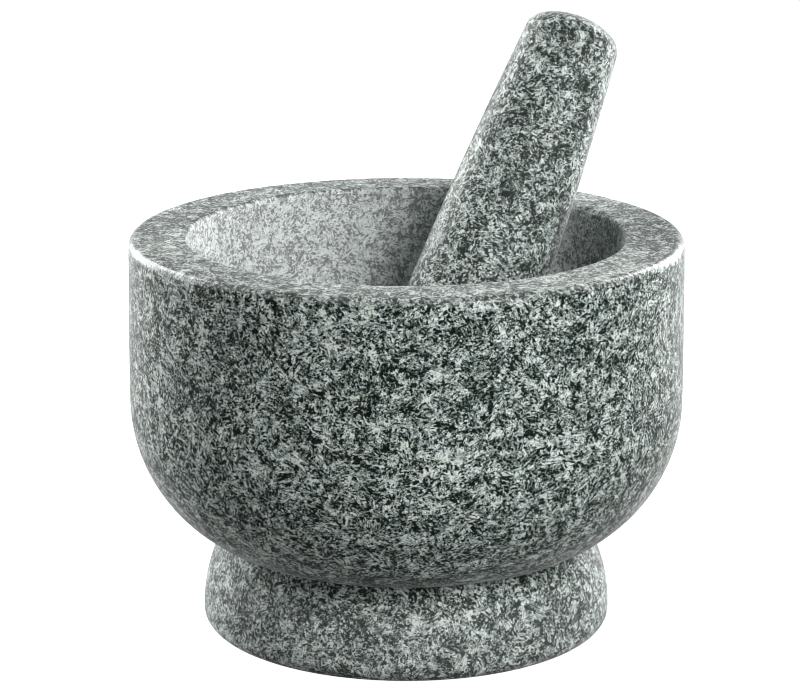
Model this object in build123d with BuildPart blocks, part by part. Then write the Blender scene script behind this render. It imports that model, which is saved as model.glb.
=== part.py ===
from build123d import *
from math import asin, cos, degrees, radians, sin, sqrt
import os

# Mortar and pestle in granite. The mortar is one block: a round bowl on a flared foot, with a
# thick wall and a deep rounded hollow. The pestle is a second block, a tapered club that stands
# in the hollow and leans on the inside edge of the rim.
# Millimetres, +Z up, origin at the centre of the foot's flat underside.

# Mortar, outside
height = 130.5              # table to the flat top of the rim
rim_radius = 90.0           # outside of the bowl at the rim
belly_radius = 90.5         # widest ring of the bowl
belly_height = 76.5         # height of that ring above the table
turn_radius = 51.3          # arc that carries the wall in under the bowl
turn_angle = 65.0           # degrees of that arc, from the belly down to the neck
foot_radius = 67.3          # widest ring of the foot
foot_lip = 4.6              # upright stretch at the foot's widest ring
foot_edge = 4.5             # rounding of the foot's lower edge
neck_blend = 1.5            # rounding in the groove between bowl and foot
outer_edge = 2.6            # rounding of the rim's outer edge
inner_edge = 1.6            # rounding of the rim's inner edge

# Mortar, hollow
hollow_radius = 71.0        # inside of the wall at the rim
wall_depth = 23.0           # upright stretch of the inside wall, above a half-round bottom

# Pestle
pestle_length = 175.0       # tip to tip
grinding_radius = 22.6      # rounded lower end, which is also the thickest place
top_radius = 15.9           # shaft at its upper end, before the corner is rounded
dome_rise = 5.6             # crown of the upper end
dome_corner = 6.5           # rounding between crown and shaft

# How the pestle rests
lean = 30.0                 # degrees from upright
heading = 45.5              # degrees from +Y towards +X, the way it leans
rim_gap = 0.35              # gap left between the shaft and the inner edge of the rim
floor_gap = 0.7             # gap left between the lower end and the floor of the hollow

os.makedirs("parts", exist_ok=True)


def save(piece, name):
    """Label one finished piece and write it as a STEP file."""
    piece.part.label = name
    export_step(piece.part, f"parts/{name}.step")


# ---- Mortar -------------------------------------------------------------------------------
turn_centre = belly_radius - turn_radius
neck_radius = turn_centre + turn_radius * cos(radians(turn_angle))
neck_height = belly_height - turn_radius * sin(radians(turn_angle))
spring_height = height - wall_depth
floor_height = spring_height - hollow_radius

with BuildPart() as mortar:
    with BuildSketch(Plane.XZ):
        with BuildLine():
            # Underside, flared foot, turned bowl and upright wall, from the axis outwards and up
            Line((0, 0), (foot_radius, 0))
            Line((foot_radius, 0), (foot_radius, foot_lip))
            TangentArc((foot_radius, foot_lip), (neck_radius, neck_height), tangent=(0, 1))
            CenterArc((turn_centre, belly_height), turn_radius, -turn_angle, turn_angle)
            TangentArc((belly_radius, belly_height), (rim_radius, height), tangent=(0, 1))
            # Flat rim, then the inside wall and the rounded bottom of the hollow
            Line((rim_radius, height), (hollow_radius, height))
            Line((hollow_radius, height), (hollow_radius, spring_height))
            CenterArc((0, spring_height), hollow_radius, -90, 90)
            Line((0, floor_height), (0, 0))
        section = make_face()
        corners = section.vertices()
        fillet(corners.sort_by_distance((foot_radius, 0))[0], foot_edge)
        fillet(corners.sort_by_distance((neck_radius, neck_height))[0], neck_blend)
        fillet(corners.sort_by_distance((rim_radius, height))[0], outer_edge)
        fillet(corners.sort_by_distance((hollow_radius, height))[0], inner_edge)
    revolve(axis=Axis.Z)
save(mortar, "mortar")

# ---- Pestle -------------------------------------------------------------------------------
# The shaft is one shallow arc that leaves the rounded lower end without a step.
shaft_length = pestle_length - grinding_radius - dome_rise
taper = grinding_radius - top_radius
shaft_arc = (shaft_length**2 + taper**2) / (2 * taper)
dome_radius = (top_radius**2 + dome_rise**2) / (2 * dome_rise)
dome_angle = degrees(asin(top_radius / dome_radius))

# Its axis lies in an upright plane through the mortar's axis. The lower end stands on the floor
# of the hollow, and the shaft passes the inner edge of the rim.
axis_way = Vector(
    sin(radians(lean)) * sin(radians(heading)),
    sin(radians(lean)) * cos(radians(heading)),
    cos(radians(lean)),
)
outward = Vector(
    cos(radians(lean)) * sin(radians(heading)),
    cos(radians(lean)) * cos(radians(heading)),
    -sin(radians(lean)),
)
ball_height = floor_height + grinding_radius + floor_gap
ball_to_rim = (height - ball_height) / cos(radians(lean))
shaft_at_rim = grinding_radius - (shaft_arc - sqrt(shaft_arc**2 - ball_to_rim**2))
reach_at_rim = hollow_radius - (shaft_at_rim + rim_gap) / cos(radians(lean))
rim_crossing = Vector(
    reach_at_rim * sin(radians(heading)),
    reach_at_rim * cos(radians(heading)),
    height,
)
tip = rim_crossing - axis_way * (ball_to_rim + grinding_radius)

with BuildPart() as pestle:
    with BuildSketch(Plane(origin=tip, x_dir=outward, z_dir=outward.cross(axis_way))):
        with BuildLine():
            CenterArc((0, grinding_radius), grinding_radius, -90, 90)
            TangentArc(
                (grinding_radius, grinding_radius),
                (top_radius, grinding_radius + shaft_length),
                tangent=(0, 1),
            )
            CenterArc((0, pestle_length - dome_radius), dome_radius, 90 - dome_angle, dome_angle)
            Line((0, pestle_length), (0, 0))
        outline = make_face()
        shoulder = outline.vertices().sort_by_distance((top_radius, pestle_length - dome_rise))[0]
        fillet(shoulder, dome_corner)
    revolve(axis=Axis(tip, axis_way))
save(pestle, "pestle")
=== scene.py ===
import bpy
from math import asin, cos, pi, radians, sin, sqrt
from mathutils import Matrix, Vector


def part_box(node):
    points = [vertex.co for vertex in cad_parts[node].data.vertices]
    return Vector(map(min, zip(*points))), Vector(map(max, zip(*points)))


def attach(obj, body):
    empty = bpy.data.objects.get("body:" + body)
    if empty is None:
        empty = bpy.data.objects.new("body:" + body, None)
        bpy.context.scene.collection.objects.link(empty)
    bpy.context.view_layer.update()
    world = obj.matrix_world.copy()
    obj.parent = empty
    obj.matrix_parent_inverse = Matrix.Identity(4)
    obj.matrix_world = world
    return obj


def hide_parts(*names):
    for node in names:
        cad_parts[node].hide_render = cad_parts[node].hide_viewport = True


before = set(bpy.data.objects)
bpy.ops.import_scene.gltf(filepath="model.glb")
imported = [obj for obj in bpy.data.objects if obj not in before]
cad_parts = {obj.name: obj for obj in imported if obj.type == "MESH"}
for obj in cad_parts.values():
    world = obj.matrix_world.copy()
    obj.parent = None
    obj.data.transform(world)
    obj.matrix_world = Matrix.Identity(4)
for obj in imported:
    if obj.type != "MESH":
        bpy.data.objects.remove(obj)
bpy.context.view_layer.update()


# ---- Mortar ---------------------------------------------------------------------------------
# One block of green-grey granite: a thick round bowl on a flared foot. It is turned and honed
# outside, ground flat across the rim, and left dull and a little rough inside the hollow.

mortar_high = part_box("mortar")[1]
rim_height = mortar_high[2]
belly_radius = mortar_high[0]
wall_lean = 0.0005
rim_radius = belly_radius - wall_lean
belly_height = 0.0765
turn_radius = 0.0513
turn_angle = radians(65)
foot_radius = 0.0673
foot_edge = 0.0045
hollow_radius = 0.071
wall_depth = 0.023
outer_edge = 0.0026
inner_edge = 0.0016
mortar_facets = 400
weld_distance = 0.00002
flat_underside = 0.002
worn_reach = 0.004
wave_size = 0.030
chip_size = 0.0030
wave_depth = 0.0002
chip_depth = 0.00012


def arc(centre, radius, start, end, steps):
    """Points (radius, height) along an arc in the upright half plane, its first point left out."""
    angles = [start + (end - start) * k / steps for k in range(1, steps + 1)]
    return [(centre[0] + radius * cos(a), centre[1] + radius * sin(a)) for a in angles]


def straight(start, end, steps):
    """Points along a line, its first point left out."""
    run, rise = end[0] - start[0], end[1] - start[1]
    return [(start[0] + run * k / steps, start[1] + rise * k / steps) for k in range(1, steps + 1)]


def turn_on_lathe(name, outline, facets):
    """Draw half the outline of a round stone as a chain of points, and spin it into a solid."""
    bpy.ops.object.select_all(action="DESELECT")
    bpy.ops.mesh.primitive_plane_add(size=0.001, location=(0, 0, 0))
    piece = bpy.context.object
    piece.name = name
    bpy.ops.object.mode_set(mode="EDIT")
    bpy.ops.mesh.select_mode(type="VERT")
    bpy.ops.mesh.select_all(action="SELECT")
    bpy.ops.mesh.merge(type="CENTER")
    here = (0.0, 0.0)
    for there in outline:
        step = (there[0] - here[0], 0.0, there[1] - here[1])
        bpy.ops.mesh.extrude_vertices_move(TRANSFORM_OT_translate={"value": step})
        here = there
    bpy.ops.mesh.select_all(action="SELECT")
    bpy.ops.mesh.spin(steps=facets, angle=2 * pi, center=(0, 0, 0), axis=(0, 0, 1))
    bpy.ops.mesh.select_all(action="SELECT")
    bpy.ops.mesh.remove_doubles(threshold=weld_distance)
    bpy.ops.mesh.normals_make_consistent(inside=False)
    bpy.ops.object.mode_set(mode="OBJECT")
    bpy.ops.object.shade_smooth()
    return piece


def pits_and_waves(name, size, floor_level, ceiling_level):
    """A cloud pattern for the stone's own unevenness, flat below one level and above another."""
    clouds = bpy.data.textures.new(name, "CLOUDS")
    clouds.noise_scale = size
    clouds.noise_depth = 1
    clouds.use_color_ramp = True
    clouds.color_ramp.elements[0].position = floor_level
    clouds.color_ramp.elements[1].position = ceiling_level
    clouds.color_ramp.elements[0].color = (0, 0, 0, 1)
    clouds.color_ramp.elements[1].color = (1, 1, 1, 1)
    return clouds


def wear_down(piece, texture, depth, middle, weight_of):
    """Push the surface in by a pattern, by as much at each point as weight_of says, and apply it."""
    group = piece.vertex_groups.new(name=texture.name)
    for vertex in piece.data.vertices:
        weight = weight_of(vertex.co)
        if weight > 0:
            group.add([vertex.index], weight, "REPLACE")
    worn = piece.modifiers.new(texture.name, "DISPLACE")
    worn.texture = texture
    worn.texture_coords = "LOCAL"
    worn.vertex_group = group.name
    worn.mid_level = middle
    worn.strength = -depth
    bpy.context.view_layer.objects.active = piece
    bpy.ops.object.modifier_apply(modifier=worn.name)
    piece.vertex_groups.clear()


turn_centre = (belly_radius - turn_radius, belly_height)
neck = (
    turn_centre[0] + turn_radius * cos(turn_angle),
    turn_centre[1] - turn_radius * sin(turn_angle),
)
flare_run = foot_radius - neck[0]
flare_rise = neck[1] - foot_edge
flare_radius = (flare_run**2 + flare_rise**2) / (2 * flare_run)
wall_run = belly_radius - rim_radius
wall_rise = rim_height - belly_height
wall_radius = (wall_run**2 + wall_rise**2) / (2 * wall_run)
spring_height = rim_height - wall_depth

outline = straight((0, 0), (foot_radius - foot_edge, 0), 24)
outline += arc((foot_radius - foot_edge, foot_edge), foot_edge, -pi / 2, 0, 8)
outline += arc(
    (foot_radius - flare_radius, foot_edge), flare_radius, 0, asin(flare_rise / flare_radius), 18
)
outline += arc(turn_centre, turn_radius, -turn_angle, 0, 36)
outline += arc(
    (belly_radius - wall_radius, belly_height), wall_radius, 0,
    asin((wall_rise - outer_edge) / wall_radius), 30,
)
outline += arc((rim_radius - outer_edge, rim_height - outer_edge), outer_edge, 0, pi / 2, 8)
outline += straight(
    (rim_radius - outer_edge, rim_height), (hollow_radius + inner_edge, rim_height), 10
)
outline += arc((hollow_radius + inner_edge, rim_height - inner_edge), inner_edge, pi / 2, pi, 6)
outline += straight((hollow_radius, rim_height - inner_edge), (hollow_radius, spring_height), 12)
outline += arc((0, spring_height), hollow_radius, 0, -pi / 2, 50)

mortar = turn_on_lathe("granite_mortar", outline, mortar_facets)


def near_mortar_edge(point):
    """1 at the rim's two edges and the foot's lower edge, fading to 0 over a few millimetres."""
    reach = Vector((point.x, point.y)).length
    to_outer = Vector((reach - rim_radius, point.z - rim_height)).length
    to_inner = Vector((reach - hollow_radius, point.z - rim_height)).length
    to_foot = Vector((reach - foot_radius, point.z - flat_underside)).length
    return max(0.0, 1 - min(to_outer, to_inner, to_foot) / worn_reach)


def above_table(point):
    """0 on the flat underside, so that it stays flat, and 1 over the rest."""
    return min(1.0, max(0.0, point.z - flat_underside) / worn_reach)


edge_chips = pits_and_waves("edge_chips", chip_size, 0.55, 0.75)
hand_finish = pits_and_waves("hand_finish", wave_size, 0.0, 1.0)
wear_down(mortar, hand_finish, wave_depth, 0.5, above_table)
wear_down(mortar, edge_chips, chip_depth, 0.0, near_mortar_edge)
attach(mortar, "mortar")
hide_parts("mortar")


class Board:
    """A short way to lay out shader nodes: each call adds a node, sets its inputs and joins it."""

    def __init__(self, tree):
        self.tree = tree
        tree.nodes.clear()

    def add(self, kind, inputs=None, **settings):
        node = self.tree.nodes.new(kind)
        for key, value in settings.items():
            setattr(node, key, value)
        for key, value in (inputs or {}).items():
            if isinstance(value, bpy.types.NodeSocket):
                self.tree.links.new(value, node.inputs[key])
            else:
                node.inputs[key].default_value = value
        return node

    def math(self, operation, a, b=0.0):
        return self.add("ShaderNodeMath", {0: a, 1: b}, operation=operation).outputs[0]

    def vector(self, operation, a, b=(0, 0, 0)):
        return self.add("ShaderNodeVectorMath", {0: a, 1: b}, operation=operation).outputs[0]

    def scaled(self, a, factor):
        return self.add("ShaderNodeVectorMath", {0: a, "Scale": factor}, operation="SCALE").outputs[0]

    def noise(self, vector, scale, detail=2.0, roughness=0.5):
        inputs = {"Vector": vector, "Scale": scale, "Detail": detail, "Roughness": roughness}
        return self.add("ShaderNodeTexNoise", inputs).outputs

    def between(self, value, low, high, to_low=0.0, to_high=1.0, how="LINEAR"):
        """Carry a value from one range into another and hold it there."""
        inputs = {"Value": value, "From Min": low, "From Max": high, "To Min": to_low, "To Max": to_high}
        return self.add("ShaderNodeMapRange", inputs, interpolation_type=how).outputs[0]

    def mix(self, factor, a, b, how="MIX"):
        """Mix two colours, whose sockets on a Mix node are its seventh and eighth."""
        inputs = {0: factor, 6: a, 7: b}
        return self.add("ShaderNodeMix", inputs, data_type="RGBA", blend_type=how).outputs[2]

    def ramp(self, value, stops):
        """A colour ramp with its stops given as (position, colour)."""
        node = self.add("ShaderNodeValToRGB", {"Fac": value})
        while len(node.color_ramp.elements) < len(stops):
            node.color_ramp.elements.new(1.0)
        for element, (position, colour) in zip(node.color_ramp.elements, stops):
            element.position = position
            element.color = (*colour, 1.0)
        return node.outputs["Color"]


# Granite, as a solid pattern that runs right through the stone. Its crystals lie in patches, each
# patch with its own lie: wide pale plates, narrow laths across them, and crowded black specks.
ragged_size = 0.0009
ragged_shift = 0.0006
clump_size = 0.0048
cloud_size = 0.020
grit_size = 0.00045
hue_size = 0.006

granite = bpy.data.node_groups.new("granite_grain", "ShaderNodeTree")
granite.interface.new_socket(name="Vector", in_out="INPUT", socket_type="NodeSocketVector")
granite.interface.new_socket(name="Ground", in_out="INPUT", socket_type="NodeSocketFloat")
granite.interface.new_socket(name="Dust", in_out="INPUT", socket_type="NodeSocketColor")
granite.interface.new_socket(name="Color", in_out="OUTPUT", socket_type="NodeSocketColor")
granite.interface.new_socket(name="Height", in_out="OUTPUT", socket_type="NodeSocketFloat")
granite.interface.new_socket(name="Roughness", in_out="OUTPUT", socket_type="NodeSocketFloat")
stone = Board(granite)
given = stone.add("NodeGroupInput").outputs
place = given["Vector"]

# Every crystal has ragged sides: the places are shaken a little before they are used.
shake = stone.noise(place, 1 / ragged_size, 2.0, 0.6)["Color"]
shake = stone.vector("SUBTRACT", shake, (0.5, 0.5, 0.5))
ragged = stone.vector("ADD", place, stone.scaled(shake, ragged_shift))


def lying(patch_size, turn, length, width):
    """Places drawn out along the lie of a patch of crystals, each patch with its own lie."""
    bend = stone.noise(place, 0.8 / patch_size, 1.0)["Color"]
    bend = stone.vector("SUBTRACT", bend, (0.5, 0.5, 0.5))
    bent = stone.vector("ADD", place, stone.scaled(bend, patch_size * 0.6))
    patch = stone.add("ShaderNodeTexVoronoi", {"Vector": bent, "Scale": 1 / patch_size})
    lie = stone.scaled(patch.outputs["Color"], turn)
    inputs = {"Vector": ragged, "Rotation": lie}
    turned = stone.add("ShaderNodeVectorRotate", inputs, rotation_type="EULER_XYZ").outputs[0]
    return stone.vector("MULTIPLY", turned, (1 / length, 1 / width, 1 / width))


def crystals(drawn):
    """Three random values for each crystal."""
    cell = stone.add("ShaderNodeTexVoronoi", {"Vector": drawn, "Scale": 1.0})
    return stone.add("ShaderNodeSeparateColor", {"Color": cell.outputs["Color"]}).outputs


plates = lying(patch_size=0.0085, turn=9.0, length=0.0052, width=0.0016)
plate = crystals(plates)
lath = crystals(lying(patch_size=0.0050, turn=12.0, length=0.0040, width=0.00075))
speck = crystals(lying(patch_size=0.0040, turn=15.0, length=0.0017, width=0.00065))
fibres = stone.noise(stone.vector("MULTIPLY", plates, (1.0, 5.5, 5.5)), 1.0, 1.0, 0.6)["Fac"]
clumps = stone.noise(place, 1 / clump_size, 2.0, 0.6)["Fac"]
clouds = stone.noise(place, 1 / cloud_size, 2.0, 0.5)["Fac"]
fine = stone.noise(place, 1 / grit_size, 1.0, 0.6)["Fac"]
hue = stone.noise(place, 1 / hue_size, 1.0, 0.5)["Fac"]

# Tone from 0, black, to 1, palest: the plates set it, and each finer or wider pattern shifts it
# down or up by its own share.
tone = stone.between(plate[0], 0.0, 1.0, 0.34, 0.72)
for pattern, low, high, shift in (
    (lath[0], 0.0, 1.0, 0.30),
    (fibres, 0.3, 0.7, 0.30),
    (clumps, 0.3, 0.7, 0.16),
    (clouds, 0.3, 0.7, 0.08),
    (fine, 0.3, 0.7, 0.14),
):
    tone = stone.math("ADD", tone, stone.between(pattern, low, high, -shift, shift))

# Black specks crowd together where the stone is darker, and a few crystals are almost white.
share = stone.between(clumps, 0.35, 0.65, 0.46, 0.08)
black = stone.between(stone.math("SUBTRACT", speck[1], share), -0.01, 0.01)
tone = stone.math("MULTIPLY", tone, stone.between(black, 0.0, 1.0, 0.16, 1.0))
flash = stone.between(stone.math("MULTIPLY", lath[1], speck[2]), 0.86, 0.90, 0.0, 0.25)
tone = stone.math("ADD", tone, flash)
crystal = stone.ramp(tone, (
    (0.06, (0.002, 0.005, 0.003)),
    (0.25, (0.029, 0.042, 0.036)),
    (0.45, (0.135, 0.166, 0.152)),
    (0.65, (0.315, 0.362, 0.343)),
    (0.95, (0.660, 0.705, 0.685)),
))
cool = stone.mix(1.0, crystal, (0.98, 1.0, 1.01, 1.0), "MULTIPLY")
warm = stone.mix(1.0, crystal, (1.01, 1.01, 0.98, 1.0), "MULTIPLY")
tinted = stone.mix(stone.between(hue, 0.42, 0.58), cool, warm)
caught = stone.math("MULTIPLY", given["Ground"], stone.between(tone, 0.06, 0.50, 0.42, 1.0))
dull = stone.mix(caught, tinted, given["Dust"])
height = stone.math("ADD", stone.math("MULTIPLY", tone, 0.7), stone.math("MULTIPLY", fine, 0.3))
rough = stone.between(tone, 0.1, 0.9, 0.38, 0.50)
stone.add("NodeGroupOutput", {"Color": dull, "Height": height, "Roughness": rough})


bedding = (1.0, 1.0, 1.25)
bump_depth = 0.0003


def granite_material(name, cut_from, finish, sheen):
    """Granite from one part of the block; finish lays out where it is ground dull and dusty, and on the
    mortar also where light is painted in as paler dust.
    """
    material = bpy.data.materials.new(name)
    material.use_nodes = True
    board = Board(material.node_tree)
    where = board.add("ShaderNodeTexCoord").outputs["Object"]
    inputs = {"Vector": where, "Location": cut_from, "Scale": bedding}
    moved = board.add("ShaderNodeMapping", inputs).outputs[0]
    # On the mortar, ground and dust also carry painted light: a paler left side in the hollow, and a
    # paler foot.
    ground, dust, rings, polish = finish(board, where)
    grain = board.add("ShaderNodeGroup", node_tree=granite)
    for key, value in (("Vector", moved), ("Ground", ground), ("Dust", dust)):
        board.tree.links.new(value, grain.inputs[key])
    height = board.math("ADD", grain.outputs["Height"], rings)
    bump = board.add("ShaderNodeBump", {"Height": height, "Strength": 0.25, "Distance": bump_depth})
    dullness = board.math("ADD", grain.outputs["Roughness"], board.math("MULTIPLY", ground, 0.35))
    shader = board.add("ShaderNodeBsdfPrincipled", {
        "Base Color": grain.outputs["Color"],
        "Roughness": dullness,
        "Normal": bump.outputs["Normal"],
        "IOR": 1.5,
        "Specular IOR Level": 0.08,
        "Coat Weight": polish,
        "Coat Roughness": 0.28,
        "Sheen Weight": sheen,
        "Sheen Roughness": 0.30,
    })
    board.add("ShaderNodeOutputMaterial", {"Surface": shader.outputs[0]})
    return material


rim_dust = (0.25, 0.26, 0.255, 1.0)
hollow_dust = (0.74, 0.765, 0.76, 1.0)
# Painted light: the pale colour that the foot is lightened towards.
foot_painted_light = (0.52, 0.55, 0.545, 1.0)
rim_skin = 0.0012
rim_fade = 0.0009
# Heights between which the foot's painted light fades in, from none above to full below.
foot_painted_light_top = 0.032
foot_painted_light_full = 0.020
ring_spacing = 0.0012


def rim_and_hollow(board, where):
    """Ground flat across the rim; dusty inside the hollow, with fine rings from its grinding, and
    painted light: the hollow paler on its left side, and the foot paler.
    """
    parts = board.add("ShaderNodeSeparateXYZ", {"Vector": where}).outputs
    flat = board.add("ShaderNodeCombineXYZ", {"X": parts["X"], "Y": parts["Y"]}).outputs[0]
    reach = board.add("ShaderNodeVectorMath", {0: flat}, operation="LENGTH").outputs["Value"]
    below = board.math("MINIMUM", board.math("SUBTRACT", parts["Z"], spring_height), 0.0)
    deep = board.math("ADD", board.math("POWER", reach, 2.0), board.math("POWER", below, 2.0))
    deep = board.math("SQRT", deep)
    inside = board.between(deep, hollow_radius + inner_edge, hollow_radius, how="SMOOTHSTEP")
    skin = rim_height - rim_skin
    on_rim = board.between(parts["Z"], skin, skin + rim_fade, how="SMOOTHSTEP")
    on_rim = board.math("MULTIPLY", on_rim, 0.22)
    from_edge = board.math("ABSOLUTE", board.math("SUBTRACT", reach, rim_radius))
    at_edge = board.math("MAXIMUM", from_edge, board.math("SUBTRACT", rim_height, parts["Z"]))
    on_edge = board.between(at_edge, outer_edge * 0.5, outer_edge, 1.0, 0.0, "SMOOTHSTEP")
    # Painted light: the hollow's dust lies thicker towards its left side and thinner towards its right,
    # so the left wall looks lit and the right wall shaded.
    hollow_dust_and_painted_light = board.between(parts["X"], -hollow_radius, hollow_radius, 0.74, 0.50)
    ground = board.math("MAXIMUM", board.math("MULTIPLY", inside, hollow_dust_and_painted_light), on_rim)
    ground = board.math("MAXIMUM", ground, board.math("MULTIPLY", on_edge, 0.30))
    # Painted light: the foot is painted paler below 32 mm, fully so below 20 mm, in place of light from
    # the floor and the front.
    foot = board.between(parts["Z"], foot_painted_light_top, foot_painted_light_full)
    ground = board.math("MAXIMUM", ground, board.math("MULTIPLY", foot, 0.20))
    dust = board.mix(inside, rim_dust, hollow_dust)
    dust = board.mix(foot, dust, foot_painted_light)
    level = board.add("ShaderNodeCombineXYZ", {"X": parts["Z"]}).outputs[0]
    rings = board.noise(level, 1 / ring_spacing, 2.0, 0.7)["Fac"]
    rings = board.math("MULTIPLY", rings, board.math("MULTIPLY", inside, 0.8))
    return ground, dust, rings, board.math("MULTIPLY", on_edge, 0.5)


mortar_granite = granite_material("mortar_granite", (0.31, 0.12, 0.05), rim_and_hollow, 0.22)
mortar.data.materials.append(mortar_granite)


# ---- Pestle ---------------------------------------------------------------------------------
# A second block of the same granite: a club that tapers a little from its rounded grinding end
# to a crowned top. It is honed along the shaft and dull where it grinds.

pestle_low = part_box("pestle")[0]
pestle_length = 0.175
grinding_radius = 0.0226
top_radius = 0.0159
dome_rise = 0.0056
dome_corner = 0.0065
lean = radians(30)
heading = radians(45.5)
pestle_facets = 192
pestle_wave_depth = 0.00025
crown_worn_reach = 0.006
dusty_length = 0.05
nibble_size = 0.0008
shaft_dust = (0.50, 0.53, 0.52, 1.0)
end_dust = (0.58, 0.61, 0.60, 1.0)

shaft_length = pestle_length - grinding_radius - dome_rise
taper = grinding_radius - top_radius
shaft_radius = (shaft_length**2 + taper**2) / (2 * taper)
dome_radius = (top_radius**2 + dome_rise**2) / (2 * dome_rise)

# The corner between shaft and crown is one arc that touches both. Its centre is found by going
# from the one curve to the other until it settles.
corner_reach = dome_radius - dome_corner
shaft_centre = grinding_radius - shaft_radius
dome_centre = pestle_length - dome_radius
corner = (top_radius - dome_corner, 0.0)
for _ in range(40):
    rise = sqrt(corner_reach**2 - corner[0] ** 2)
    above = dome_centre + rise - grinding_radius
    corner = (shaft_centre + sqrt((shaft_radius - dome_corner) ** 2 - above**2), dome_centre + rise)
shaft_end = asin((corner[1] - grinding_radius) / (shaft_radius - dome_corner))
dome_start = asin((corner[1] - dome_centre) / corner_reach)

outline = arc((0, grinding_radius), grinding_radius, -pi / 2, 0, 26)
outline += arc((shaft_centre, grinding_radius), shaft_radius, 0, shaft_end, 70)
outline += arc(corner, dome_corner, shaft_end, dome_start, 14)
outline += arc((0, dome_centre), dome_radius, dome_start, pi / 2, 16)
pestle = turn_on_lathe("granite_pestle", outline, pestle_facets)


def near_crown_edge(point):
    """1 at the corner below the crown, fading to 0 over a few millimetres."""
    return max(0.0, 1 - abs(point.z - corner[1]) / crown_worn_reach)


wear_down(pestle, hand_finish, pestle_wave_depth, 0.5, lambda point: 1.0)
wear_down(pestle, edge_chips, chip_depth, 0.0, near_crown_edge)

way = Vector((sin(lean) * sin(heading), sin(lean) * cos(heading), cos(lean)))
ball_centre = Vector(pestle_low) + Vector((1, 1, 1)) * grinding_radius
pestle.rotation_euler = way.to_track_quat("Z", "Y").to_euler()
pestle.location = ball_centre - way * grinding_radius
bpy.ops.object.select_all(action="DESELECT")
pestle.select_set(True)
bpy.context.view_layer.objects.active = pestle
bpy.ops.object.transform_apply(location=True, rotation=True, scale=True)
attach(pestle, "pestle")
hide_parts("pestle")


def grinding_end(board, where):
    """Dusty on the rounded lower end, fading out up the shaft."""
    height = board.add("ShaderNodeSeparateXYZ", {"Vector": where}).outputs["Z"]
    clean = ball_centre.z + dusty_length
    low = board.between(height, clean, ball_centre.z, 0.16, 1.0, "SMOOTHSTEP")
    dust = board.mix(low, shaft_dust, end_dust)
    nibbles = board.noise(where, 1 / nibble_size, 1.0)["Fac"]
    return board.math("MULTIPLY", low, 0.6), dust, board.math("MULTIPLY", nibbles, low), 0.0


pestle_granite = granite_material("pestle_granite", (0.07, 0.43, 0.22), grinding_end, 0.42)
pestle.data.materials.append(pestle_granite)


# ---- Studio ---------------------------------------------------------------------------------
# A pale floor in a white room, lit by two tall soft boxes behind the stone, one on its left, and
# two smaller ones in front of it on its right, one above the other.

floor_size = 6
stone_middle = Vector((0, 0, 0.09))
camera_place = (-0.0021, -1.016, 0.3607)
camera_looks_down = 14.79

bpy.ops.object.select_all(action="DESELECT")
bpy.ops.mesh.primitive_plane_add(size=floor_size, location=(0, 0, 0))
floor = bpy.context.object
floor.name = "studio_floor"
floor_paint = bpy.data.materials.new("studio_floor")
floor_paint.use_nodes = True
paint = Board(floor_paint.node_tree)
matt = paint.add("ShaderNodeBsdfPrincipled", {"Base Color": (0.30, 0.30, 0.30, 1), "Roughness": 0.9})
glow = paint.add("ShaderNodeEmission", {"Color": (1, 1, 1, 1), "Strength": 0.97})
lit = paint.add("ShaderNodeAddShader", {0: matt.outputs[0], 1: glow.outputs[0]}).outputs[0]
direct = paint.add("ShaderNodeLightPath").outputs["Is Camera Ray"]
shown = paint.add("ShaderNodeMixShader", {0: direct, 1: matt.outputs[0], 2: lit}).outputs[0]
paint.add("ShaderNodeOutputMaterial", {"Surface": shown})
floor.data.materials.append(floor_paint)


def soft_light(name, place, width, height, watts):
    """A rectangular soft box at a place, turned to face the stone."""
    bpy.ops.object.light_add(type="AREA", location=place)
    light = bpy.context.object
    light.name = name
    light.data.shape = "RECTANGLE"
    light.data.size = width
    light.data.size_y = height
    light.data.energy = watts
    way_to_stone = stone_middle - Vector(place)
    light.rotation_euler = way_to_stone.to_track_quat("-Z", "Y").to_euler()


soft_light("back_left_softbox", (-0.6, 0.6, 0.35), 0.4, 0.9, 13.5)
soft_light("back_right_softbox", (0.6, 0.6, 0.35), 0.4, 0.9, 14.5)
soft_light("left_softbox", (-0.85, 0.15, 0.3), 0.2, 0.8, 4.8)
soft_light("high_right_softbox", (0.45, -0.7, 0.8), 0.3, 0.3, 8.6)
soft_light("front_right_softbox", (0.58, -0.7, 0.42), 0.4, 0.4, 3.6)

world = bpy.data.worlds.new("studio")
bpy.context.scene.world = world
world.use_nodes = True
sky = Board(world.node_tree)
ray = sky.add("ShaderNodeLightPath").outputs["Is Camera Ray"]
room = sky.add("ShaderNodeBackground", {"Color": (1, 1, 1, 1), "Strength": 0.02})
backdrop = sky.add("ShaderNodeBackground", {"Color": (1, 1, 1, 1), "Strength": 1.0})
seen = sky.add("ShaderNodeMixShader", {0: ray, 1: room.outputs[0], 2: backdrop.outputs[0]})
sky.add("ShaderNodeOutputWorld", {"Surface": seen.outputs[0]})
bpy.context.scene.view_settings.view_transform = "Standard"
bpy.context.scene.cycles.filter_width = 1.0

camera_turn = (radians(90 - camera_looks_down), 0, 0)
bpy.ops.object.camera_add(location=camera_place, rotation=camera_turn)
camera = bpy.context.object
camera.name = "camera"
camera.data.sensor_width = 36
camera.data.lens = 144.35
camera.data.clip_end = 20
bpy.context.scene.camera = camera
